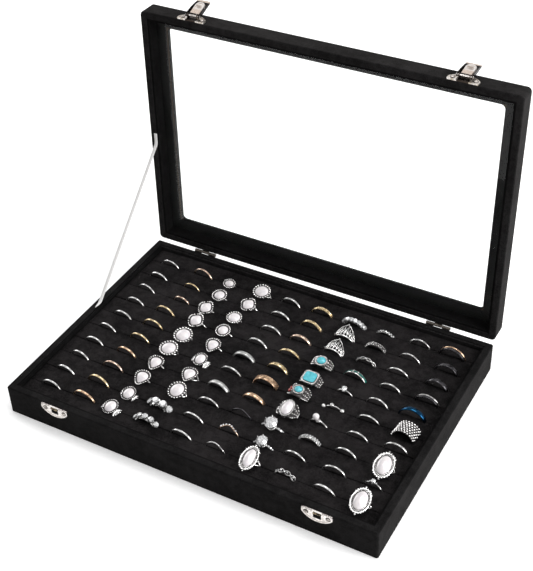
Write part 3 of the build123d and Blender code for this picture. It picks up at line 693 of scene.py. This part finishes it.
def rod(material, start, stop, radius):
    """A straight wire with closed ends between two points."""
    start, stop = np.array(start, float), np.array(stop, float)
    along = (stop - start) / np.linalg.norm(stop - start)
    first = np.cross(along, (0.31, 0.87, 0.38))
    first /= np.linalg.norm(first)
    second = np.cross(along, first)
    turn = np.linspace(0, 2 * np.pi, 8)[:-1][:, None]
    rim = radius * (np.cos(turn) * first + np.sin(turn) * second)
    points = np.stack([start + rim * 0, start + rim, stop + rim, stop + rim * 0])
    return points, False, True, material, False


def at_angle(patch, angle, y=0.0):
    """Turns a patch that faces +Z at the origin to an angle on the hoop: x' = x cos a + (z + R) sin a."""
    points, closes_u, closes_v, material, flat = patch
    x, z = points[..., 0], points[..., 2] + HOOP_RADIUS
    turned = np.stack([x * np.cos(angle) + z * np.sin(angle), points[..., 1] + y,
                       z * np.cos(angle) - x * np.sin(angle)], -1)
    return turned, closes_u, closes_v, material, flat


def rim(material, half_x, half_y, level, radius):
    """A round wire bent to an oval: centreline x = a cos t, y = b sin t, section of one radius."""
    t = np.linspace(0, 2 * np.pi, 49)[:-1][:, None]
    v = np.linspace(0, 2 * np.pi, 9)[:-1][None, :]
    out = radius * np.cos(v)
    points = np.stack([(half_x + out) * np.cos(t), (half_y + out) * np.sin(t),
                       level + radius * np.sin(v) + 0 * t], -1)
    return points, True, True, material, False


def beads(material, shape, half_x, half_y, level, radius, count):
    """A row of beads round a head's outline."""
    turn = np.linspace(0, 2 * np.pi, count + 1)[:-1]
    x, y = outline_of(shape, turn)
    return [ball(material, a * half_x, b * half_y, level, radius, sides=6) for a, b in zip(x, y)]


def band(metal, width, **more):
    """A plain domed band."""
    return [hoop(metal, width, 1.4, **more)]


def twin(metal, second, width=1.3, gap=1.5, radius=HOOP_RADIUS):
    """Two narrow bands side by side on a thinner sleeve."""
    return [hoop(metal, width, 1.5, radius, gap / 2), hoop(second, width, 1.5, radius, -gap / 2),
            hoop(second, gap + width, 1.0, radius - 0.3)]


def leaf(material, x, y, heading, length, width, level):
    """A domed petal wrapped on the hoop, its half-width w (sin pi u)^0.8 drawn to a point at each end."""
    u = np.linspace(0, 1, 9)[:, None]
    v = np.linspace(0, 2 * np.pi, 9)[:-1][None, :]
    half = width / 2 * np.sin(np.pi * u ** 0.85) ** 0.8
    along = u * length + 0 * v
    px = x + along * np.cos(heading) - half * np.cos(v) * np.sin(heading)
    py = y + along * np.sin(heading) + half * np.cos(v) * np.cos(heading)
    reach = HOOP_RADIUS + level + 0.55 * np.sin(v) * np.sqrt(half / (width / 2))
    points = np.stack([reach * np.sin(px / HOOP_RADIUS), py, reach * np.cos(px / HOOP_RADIUS)], -1)
    return points, False, True, material, False


def cab_ring(shape, half_x, half_y, halo=1.5, bead=0.72, count=24, split=0.0, fans=0):
    """A cabochon in a dark cup with beads outside it; the shank may be split, and fans may follow."""
    rise, foot = 2.2, 9.8
    spread_out = split * soften(np.cos(AROUND), 0.5, 0.92)
    patches = [hoop(silver, 1.3, 1.2, 10.0, spread_out)]
    if split:
        patches.append(hoop(silver, 1.3, 1.2, 10.0, -spread_out))
    patches.append(cabochon(dark_pit, shape, half_x + halo, half_y + halo, foot - 1.2, 1.6, 0.92))
    patches.append(cabochon(white_opal, shape, half_x, half_y, foot + 0.1, rise))
    patches += beads(bright_silver, shape, half_x + halo, half_y + halo, foot + 0.35, bead, count)
    for sign, first, last in ((1, 40, -75), (-1, 140, 215)) if fans else []:
        for heading in np.radians(np.linspace(first, last, fans)):
            x = sign * (half_x + halo - 0.6)
            patches.append(leaf(bright_silver, x, -0.6, heading, 5.6, 1.9, 0.2))
            angle, y = (x + 3.2 * np.cos(heading)) / HOOP_RADIUS, 3.2 * np.sin(heading) - 0.6
            patches.append(at_angle(ball(crystal, 0, 0, 0.6, 0.55, True), angle, y))
    return patches


def stone_band(count, size, from_angle, to_angle, width, rows=1):
    """Cut stones set in rows along the top of a band."""
    patches = [hoop(silver, width, 1.3, 9.7)]
    for row in range(rows):
        y = (row - (rows - 1) / 2) * size * 1.9
        for angle in np.radians(np.linspace(from_angle, to_angle, count)):
            cup = cabochon(silver, "oval", size * 1.1, size * 1.1, -0.6, 0.9, 0.95, 10)
            patches.append(at_angle(cup, angle, y))
            patches.append(at_angle(gem(crystal, size, -0.5, 8), angle, y))
    return patches


def patterned(metal, width, rows, count, bump_size=0.5, ground=None):
    """A wide band covered with rows of small bosses, each row set off by half a step, on a darker ground."""
    patches = [hoop(ground or metal, width, 1.4, 10.0, square=5.0)]
    for row in range(rows):
        y = (row / max(rows - 1, 1) - 0.5) * (width - 1.3) if rows > 1 else 0.0
        for step in range(count):
            angle = np.radians(-78 + 156 * (step + 0.5 * (row % 2)) / count)
            patches.append(at_angle(ball(metal, 0, 0, 0.05, bump_size, sides=6), angle, y))
    return patches


def tiara(peak):
    """A lace crown: a lower band, an upper edge that rises to a point, and crossing bars between them."""
    bars, limit = 4, np.radians(75)
    slope = np.clip(1 - (np.abs(SIDE) / limit) ** 1.35, 0, 1)
    patches = [hoop(bright_silver, 1.5, 1.3, 10.0, -1.0),
               hoop(bright_silver, 0.9, 1.1, 10.0, -0.5 + peak * slope)]
    patches.append(hoop(bright_silver, 0.7, 0.9, 9.9, -0.8 + peak * 0.30 * slope))
    for number in range(-bars, bars + 1):
        low = np.radians(number * 66 / bars)
        for turn in (-0.10, 0.16):
            high = low * 0.74 + turn * (1 if number > 0 else -1)
            top = -0.5 + peak * max(1 - (abs(high) / limit) ** 1.35, 0)
            start = (9.6 * np.sin(low), -1.0, 9.6 * np.cos(low))
            stop = (9.6 * np.sin(high), top, 9.6 * np.cos(high))
            patches.append(rod(bright_silver, start, stop, 0.34))
        if number % 2 == 0:
            patches.append(at_angle(gem(crystal, 0.8, -0.2, 8), low * 0.85, (top - 1.0) / 2))
    patches.append(at_angle(ball(silver, 0, 0, 0, 0.9), 0.0, peak - 0.2))
    return patches


def signet(shape, half_x, half_y, colour, shank=7.0, rise=1.4, dots=0, flat_top=0.0, waist=0.0):
    """A wide shank that tapers away from a large stone; its shoulders are covered with raised scrolls."""
    width = 2.4 + (shank - 2.4) * soften(np.cos(AROUND), waist, 0.9)
    patches = [hoop(dark_pit, width, 1.5, 10.0, square=5.0)]
    for angle in np.radians([-62, -52, -42, -33, 33, 42, 52, 62]):
        reach = (2.0 + (shank - 3.2) * soften(np.cos(angle), waist, 0.9)) / 2
        for share in (-1.0, -0.33, 0.33, 1.0):
            patches.append(at_angle(ball(bright_silver, 0, 0, 0.2, 0.66, sides=6), angle, share * reach))
    patches.append(cabochon(silver, shape, half_x + 1.5, half_y + 1.5, 8.8, 2.2, 0.94))
    patches.append(cabochon(dark_pit, shape, half_x + 0.45, half_y + 0.45, 10.6, 0.6, 0.94))
    patches.append(cabochon(colour, shape, half_x, half_y, 10.8, rise, flat_top))
    patches += beads(old_silver, shape, half_x + 1.3, half_y + 1.3, 10.9, 0.35, 26)
    for number in range(dots):
        angle = np.radians((-38 if number % 2 else -50) - 6 * (number // 2))
        patches.append(at_angle(ball(coral, 0, 0, 0.5, 1.0), angle, (number % 3 - 1) * 1.9))
    return patches


def solitaire(kind, size, claws=4, shoulders=0, shift=0.0):
    """A thin shank with one stone in claws; smaller stones may follow on the shoulders."""
    foot = 9.6
    patches = [hoop(silver, 1.4, 1.3, 10.0)]
    if kind == "pear":
        patches.append(cabochon(crystal, "pear", size, size * 1.25, foot + 1.2, size * 0.9, 0.55, 12))
    elif kind == "ball":
        patches.append(ball(white_opal, shift, 0, foot + size, size, sides=12))
    else:
        patches.append(gem(crystal, size, foot + 0.4, 12))
    patches.append(cabochon(silver, "oval", size * 0.75, size * 0.75, foot - 0.6, 1.1, 0.8, 12))
    for number in range(claws):
        turn = np.pi / 4 + number * 2 * np.pi / claws
        x, y = size * np.cos(turn), size * np.sin(turn)
        patches.append(rod(silver, (x * 0.6, y * 0.6, foot - 0.4), (x, y, foot + size * 1.2 + 0.2), 0.32))
    for number in range(shoulders):
        for sign in (-1, 1):
            angle = sign * (np.arcsin((size + 0.9) / 10.6) + number * 0.2)
            patches.append(at_angle(cabochon(silver, "oval", 1.05, 1.05, -0.6, 0.9, 0.9, 8), angle))
            patches.append(at_angle(gem(crystal, 0.95, -0.3, 8), angle))
    return patches


def grand_oval(half_x=5.6, half_y=8.7):
    """A very large oval cabochon in a rope frame with scrolls and corner leaves, on a split shank."""
    foot = 11.4
    spread_out = 2.6 * soften(np.cos(AROUND), 0.35, 0.92)
    patches = [hoop(silver, 1.5, 1.3, 10.0, spread_out), hoop(silver, 1.5, 1.3, 10.0, -spread_out)]
    patches.append(cabochon(dark_pit, "oval", half_x + 2.2, half_y + 2.3, foot - 1.6, 1.2, 0.95))
    patches.append(cabochon(silver, "oval", half_x + 0.3, half_y + 0.3, foot - 0.4, 0.8, 0.9))
    patches.append(cabochon(white_opal, "oval", half_x, half_y, foot - 0.2, 2.6))
    patches += beads(bright_silver, "oval", half_x + 0.9, half_y + 0.9, foot + 0.1, 0.42, 44)
    patches.append(rim(bright_silver, half_x + 2.1, half_y + 2.2, foot - 0.3, 0.65))
    for sign in (-1, 1):
        for turn in np.radians([38, 50, 62, 76, 90, 104, 118, 130, 142]):
            x, y = (half_x + 2.7) * np.cos(turn), sign * (half_y + 2.8) * np.sin(turn)
            patches.append(ball(bright_silver, x, y, foot - 0.2, 0.8))
        patches.append(ball(silver, 0, sign * (half_y + 4.1), foot - 0.4, 0.9))
        for side in (-1, 1):
            patches.append(ball(old_silver, side * (half_x + 2.8), sign * 1.1, foot - 0.4, 0.75))
    return patches


def waved(metal, drop, width=1.2, stones=0):
    """A band that dips to a point at the top: a chevron or a shallow wave, with or without stones."""
    dip = -drop * np.exp(-(SIDE / 0.5) ** 2)
    patches = [hoop(metal, width, 1.3, 10.0, dip)]
    for angle in np.radians(np.linspace(-40, 40, stones)) if stones else []:
        patches.append(at_angle(gem(crystal, 0.8, -0.2, 8), angle, -drop * np.exp(-(angle / 0.5) ** 2)))
    return patches


def open_twist(drop=1.4, stones=5):
    """Two thin wires that cross over the finger in waves, with small stones where they part."""
    wave = drop * np.sin(SIDE * 5.2) * soften(np.cos(AROUND), 0.0, 0.4)
    patches = [hoop(old_silver, 0.9, 1.1, 10.0, wave), hoop(old_silver, 0.9, 1.1, 10.0, -wave)]
    for angle in np.radians(np.linspace(-48, 48, stones)):
        patches.append(at_angle(gem(crystal, 0.7, -0.4, 8), angle))
    return patches


def three_balls():
    """An open wire ring with a ball on each end and one between."""
    patches = [hoop(silver, 1.0, 1.0, 10.0, 0.8 * np.sin(SIDE * 2))]
    for angle, size in ((-52, 2.1), (-4, 2.0), (52, 2.2)):
        patches.append(at_angle(ball(silver, 0, 0, 0.2, size, sides=10), np.radians(angle),
                                0.8 * np.sin(2 * np.radians(angle))))
    return patches


def inlaid():
    """A band with a channel of green shell in its top and two bright lines across it."""
    patches = [hoop(silver, 3.0, 1.3, 10.0, square=5.0), hoop(green_shell, 1.9, 0.6, 10.25, square=5.0)]
    for angle in np.radians([-8, 14]):
        patches.append(at_angle(cabochon(bright_silver, "box", 0.35, 1.2, 0.1, 0.4, 0.9, 12), angle))
    return patches


GILT = [(rose_gold, 1.7), (gold, 1.8), (rose_gold, 1.8), (gold, 1.9), (gold, 1.9), (gold, 1.8),
        (copper_gold, 2.0), (rose_gold, 1.9), (gold, 2.0), (copper_gold, 1.9)]
PALE = [(silver, 1.9), (silver, 1.9), (silver, 1.9), (silver, 1.9), (satin_silver, 3.6), (silver, 1.7),
        (satin_silver, 3.6), (silver, 1.6), (silver, 1.6), (silver, 1.7)]
DIAMOND = {"shape": "diamond", "half_x": 4.5, "half_y": 4.7, "halo": 1.4, "bead": 0.62, "count": 30}
PEAR = {"shape": "pear", "half_x": 4.4, "half_y": 4.6, "halo": 1.4, "bead": 0.68}
LARGE = {"shape": "oval", "half_x": 6.1, "half_y": 5.8, "halo": 1.3, "bead": 0.95, "count": 20, "split": 3.0}
FANNED = {"shape": "oval", "half_x": 4.3, "half_y": 4.9, "halo": 1.2, "bead": 0.5, "fans": 6}
COLUMN_RINGS = [
    [band(silver, width) for width in (1.6, 1.8, 1.6, 1.7, 1.8, 1.7, 1.8, 1.7, 1.9, 1.7)],
    [band(metal, width) for metal, width in GILT],
    [cab_ring("oval", 4.7, 4.0), cab_ring("oval", 4.5, 4.4), cab_ring(**DIAMOND), cab_ring(**DIAMOND),
     cab_ring(**LARGE), cab_ring(**LARGE | {"half_x": 5.9, "half_y": 5.6}), cab_ring(**PEAR),
     cab_ring(**PEAR | {"half_x": 4.5, "half_y": 4.7}), cab_ring(**FANNED | {"fans": 5}),
     cab_ring(**FANNED | {"half_x": 4.4, "half_y": 5.1})],
    [cab_ring(**LARGE | {"half_y": 5.5}), cab_ring(**DIAMOND | {"half_x": 4.7, "half_y": 4.8}),
     cab_ring(**LARGE | {"half_x": 6.2}), cab_ring("oval", 4.5, 4.5), cab_ring(**PEAR), cab_ring(**FANNED),
     cab_ring(**PEAR | {"half_x": 4.6, "half_y": 4.9, "bead": 0.6, "split": 3.0}),
     cab_ring(**LARGE | {"half_x": 5.6, "half_y": 6.2, "halo": 1.4, "bead": 0.85}),
     stone_band(4, 3.2, -48, 52, width=4.5), stone_band(5, 2.4, -58, 58, width=4.0)],
    [band(metal, width) for metal, width in PALE],
    [twin(gold, gold), twin(gold, gold, 1.2, 1.3), band(rose_gold, 2.5), band(gold, 2.3), band(gold, 3.4),
     patterned(copper_gold, 4.5, 3, 16, 0.38), band(copper_gold, 3.4), waved(dark_steel, -0.9, 1.1),
     waved(rose_gold, -2.2, 1.2, 7), waved(silver, -1.0, 1.1)],
    [stone_band(8, 2.2, -65, 65, width=3.6), tiara(11.0), tiara(11.0),
     signet("oval", 4.0, 3.5, turquoise, 9.0), signet("box", 5.4, 4.8, turquoise, 10.0, 1.0, flat_top=0.94),
     signet("oval", 3.5, 3.1, turquoise, 12.0, dots=6),
     signet("oval", 4.4, 6.9, white_opal, 14.0, 2.4, waist=0.35),
     solitaire("round", 4.8, 6, 3), solitaire("round", 4.6, 6, 3), grand_oval(4.5, 8.6)],
    [stone_band(9, 0.95, -60, 60, width=2.2), patterned(bright_silver, 4.0, 3, 16, 0.48, dark_pit),
     open_twist(), inlaid(), solitaire("pear", 2.6, 3), three_balls(), solitaire("ball", 2.8, 0, shift=-2.0),
     stone_band(11, 0.75, -64, 64, width=3.6, rows=2), band(silver, 1.6), open_twist(1.8, 7)],
    [band(silver, width) for width in (1.5, 1.5, 1.6, 1.6, 1.6, 1.6, 1.6, 1.7, 1.6, 1.8)],
    [twin(copper_gold, dark_steel, 1.6, 2.2, 10.8), band(dark_steel, 3.6, radius=11.0, square=5.0),
     band(dark_steel, 4.0, radius=10.9), twin(old_silver, dark_steel, 1.4, 2.2, 11.0),
     band(blue_steel, 3.6, radius=10.7), patterned(bright_silver, 13.5, 7, 11, 0.95, dark_pit),
     band(silver, 1.9, radius=11.2), grand_oval(), solitaire("round", 2.2, 4, 1), grand_oval()],
]

# How the rings stand: each column has its own line, height and ring size, and some rings stand off it.
# Places are in millimetres along the slot and up, sizes are shares, and the keys are column and row.
FROM_LINE = (-0.5, 0.5, 1.5, 1.0, 1.0, 0.5, 0.5, 1.0, 0.0, 1.5)
HEIGHTS = (-0.5, 1.0, -3.5, -2.5, -0.5, 0.0, 0.0, 0.0, 0.0, 1.5)
SIZES = (1.10, 1.14, 1.12, 1.08, 1.17, 1.18, 1.06, 1.04, 1.14, 1.02)
ASIDE = {1: {4: 1.5, 5: 2.0}, 2: {1: 2.0, 2: 2.5, 3: 4.0}, 3: {2: 2.0, 4: 3.0, 5: 2.0, 10: -3.5},
         4: {1: 3.0, 3: -3.0, 4: -2.0, 7: 1.5, 8: 3.0, 9: -2.0, 10: -2.0},
         5: {3: 2.0, 5: -1.5, 6: -2.5, 7: -2.5, 9: -1.5}, 7: {8: -3.0}, 8: {7: -3.0, 9: -2.5},
         9: {3: -2.0, 5: -1.5, 10: 2.0}, 10: {1: -3.0, 5: -4.0}}
RAISED = {3: {4: 2.5, 9: -1.5}, 4: {1: 2.0, 10: 2.0}, 6: {6: 1.5}, 7: {4: 2.5, 6: 3.5, 8: -3.5, 9: -2.5},
          8: {1: -2.0, 6: -2.0, 7: -1.5}, 10: {6: 1.5, 7: 1.5, 8: -2.5}}
SMALL, WIDE = 0.93, 1.23
SIZED = {2: {2: SMALL, 3: SMALL, 9: WIDE, 10: WIDE}, 3: {1: SMALL}, 4: {3: SMALL}, 6: {9: 1.05, 10: 1.10},
         7: {8: 1.18, 10: 1.00}, 8: {4: 1.16, 5: 0.88, 9: 1.15}, 10: {1: 1.17, 5: 1.20, 9: 0.88, 10: 0.97}}
LEANING_BACK, GRAND_POSE, LARGE_POSE = 12.0, (4.0, 12.0), (3.0, 10.0)
POSED = {(10, 8): GRAND_POSE, (10, 10): GRAND_POSE, (7, 10): LARGE_POSE}
SPOT_DEPTH = 0.0010
for column, rings in enumerate(COLUMN_RINGS, 1):
    for row, patches in enumerate(rings, 1):
        number = column * 10 + row
        leans = column in (3, 7) or column == 4 and row < 9
        yaw = 3.0 * np.sin(number * 2.3) - 2.5
        lean = (LEANING_BACK if leans else 2.0) + 3.0 * np.sin(number * 1.7 + 0.5)
        yaw, lean = POSED.get((column, row), (yaw, lean))
        aside = FROM_LINE[column - 1] + ASIDE.get(column, {}).get(row, 0.0)
        raised = HEIGHTS[column - 1] + RAISED.get(column, {}).get(row, 0.0)
        size = SIZED.get(column, {}).get(row, SIZES[column - 1])
        spot = np.array([COLUMNS[column - 1] + aside / 1000, SLOTS[10 - row], FOAM_TOP - SPOT_DEPTH])
        depth = (RING_CENTRE - spot[2]) * 1000 + raised
        turned = Matrix.Rotation(np.radians(yaw), 3, "Z") @ Matrix.Rotation(np.radians(lean), 3, "X")
        turned = np.array(turned).T
        placed = [((points * size + (0, 0, depth)) @ turned / 1000 + spot, *rest)
                  for points, *rest in patches]
        lay_mesh(f"ring_{column:02d}_{row:02d}", placed, "tray")

# Ribbon stay: a narrow satin ribbon glued to both left rims, which stops the lid as it leans back.
# Its end on the tray is cut to a point.
RIBBON_X, RIBBON_WIDTH, RIBBON_THICK = -0.1695, 0.0032, 0.0003
ribbon_satin, tree, shader = new_material("ribbon_satin", Roughness=0.55, Sheen_Weight=0.3)
threads = noise(tree, place(tree), 3000.0, 2.0)
join(tree, tint(tree, spread(tree, threads, 0.35, 0.65), (0.78, 0.77, 0.76), (0.92, 0.91, 0.90)),
     shader.inputs["Base Color"])
bump(tree, shader, threads, 0.00005)
corners = np.array([(0.0030, 0.02880), (0.0105, 0.02880), (0.12414, 0.13837), (0.12439, 0.14937)])
legs = np.linalg.norm(np.diff(corners, axis=0), axis=1)
run = np.linspace(0, legs.sum(), 150)
passed = np.concatenate([[0], np.cumsum(legs)])
ribbon_y = np.interp(run, passed, corners[:, 0])
ribbon_z = np.interp(run, passed, corners[:, 1])
soft_bend = np.ones(5) / 5
for line in (ribbon_y, ribbon_z):
    line[2:-2] = np.convolve(line, soft_bend, "valid")
slope_y, slope_z = np.gradient(ribbon_y), np.gradient(ribbon_z)
steep = np.hypot(slope_y, slope_z)
wide = RIBBON_WIDTH / 2 * np.clip(run / 0.009 + 0.12, 0.12, 1)
half_section = [(-1, -0.5), (-0.33, -0.5), (0.33, -0.5), (1, -0.5)]
section = np.array(half_section + [(x, -y) for x, y in half_section[::-1]])
ribbon_points = np.stack([
    RIBBON_X + wide[:, None] * section[None, :, 0],
    ribbon_y[:, None] - (slope_z / steep)[:, None] * RIBBON_THICK * section[None, :, 1],
    ribbon_z[:, None] + (slope_y / steep)[:, None] * RIBBON_THICK * section[None, :, 1]], -1)
closed = [ribbon_points[:1].mean(axis=1, keepdims=True).repeat(8, axis=1), ribbon_points,
          ribbon_points[-1:].mean(axis=1, keepdims=True).repeat(8, axis=1)]
ribbon = lay_mesh("stay_ribbon", [(np.concatenate(closed), False, True, ribbon_satin, False)], "tray")
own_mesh(ribbon)
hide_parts("ribbon_stay")

# Studio: a pale floor, bright air and three soft lamps.
# Floor and air read white to the eye, to glass and to metal, and give the case a softer light than that.
def seen_directly(tree):
    """1 where the camera, a mirror image or the glass shows a surface, 0 where it only gives light."""
    path = tree.nodes.new("ShaderNodeLightPath")
    images = arithmetic(tree, "MAXIMUM", path.outputs["Is Glossy Ray"], path.outputs["Is Transmission Ray"])
    return arithmetic(tree, "MAXIMUM", path.outputs["Is Camera Ray"], images)


floor_mesh = bpy.data.meshes.new("floor")
floor_mesh.from_pydata([(-6, -6, 0), (6, -6, 0), (6, 6, 0), (-6, 6, 0)], [], [(0, 1, 2, 3)])
floor = bpy.data.objects.new("floor", floor_mesh)
bpy.context.scene.collection.objects.link(floor)
floor_paint, tree, shader = new_material("floor_paint", Roughness=1.0, Specular_IOR_Level=0.0)
seen = seen_directly(tree)
glow = tree.nodes.new("ShaderNodeEmission")
glow.inputs["Color"].default_value = (1, 1, 1, 1)
join(tree, tint(tree, seen, (0.88, 0.88, 0.88), (1.0, 1.0, 1.0)), shader.inputs["Base Color"])
join(tree, arithmetic(tree, "MULTIPLY", seen, 0.34), glow.inputs["Strength"])
both = tree.nodes.new("ShaderNodeAddShader")
join(tree, shader.outputs[0], both.inputs[0])
join(tree, glow.outputs[0], both.inputs[1])
join(tree, both.outputs[0], tree.nodes["Material Output"].inputs["Surface"])
floor_mesh.materials.append(floor_paint)

world = bpy.data.worlds.new("studio_air")
bpy.context.scene.world = world
world.use_nodes = True
tree = world.node_tree
air = tree.nodes["Background"]
air.inputs["Color"].default_value = (1.0, 1.0, 1.0, 1)
join(tree, spread(tree, seen_directly(tree), 0.0, 1.0, 0.30, 1.0), air.inputs["Strength"])


def lamp(name, spot, target, size, power):
    """A soft square lamp that points at a target."""
    light = bpy.data.lights.new(name, "AREA")
    light.shape = "RECTANGLE"
    light.size, light.size_y = size
    light.energy = power
    holder = bpy.data.objects.new(name, light)
    holder.location = spot
    holder.rotation_euler = (Vector(target) - Vector(spot)).to_track_quat("-Z", "Y").to_euler()
    bpy.context.scene.collection.objects.link(holder)


lamp("top_softbox", (0.1, 0.25, 1.5), (0, 0, 0), (0.9, 0.6), 9.0)
lamp("right_softbox", (1.45, -0.05, 0.55), (0, 0, 0.05), (0.9, 0.7), 22.0)
lamp("left_softbox", (-1.3, 0.5, 0.6), (0, 0, 0.02), (0.9, 0.7), 8.0)

# Camera: the photograph's place and lens, worked out from the corners of tray, lid and window.
# The lens is in millimetres on a frame 36 wide, and the camera looks against its third axis.
camera = bpy.data.objects.new("camera", bpy.data.cameras.new("camera"))
camera.data.sensor_fit = "AUTO"
camera.data.sensor_width = 36.0
camera.data.lens = 74.868
camera.data.clip_start = 0.05
right = Vector((0.87419669, 0.48456046, -0.03132588))
up = Vector((-0.27845439, 0.55312109, 0.78518801))
back = Vector((0.39779807, -0.67768593, 0.61846462))
camera.matrix_world = Matrix.LocRotScale(
    Vector((0.40065, -0.65376, 0.71934)), Matrix((right, up, back)).transposed(), None)
bpy.context.scene.collection.objects.link(camera)
bpy.context.scene.camera = camera
bpy.context.scene.view_settings.view_transform = "Standard"
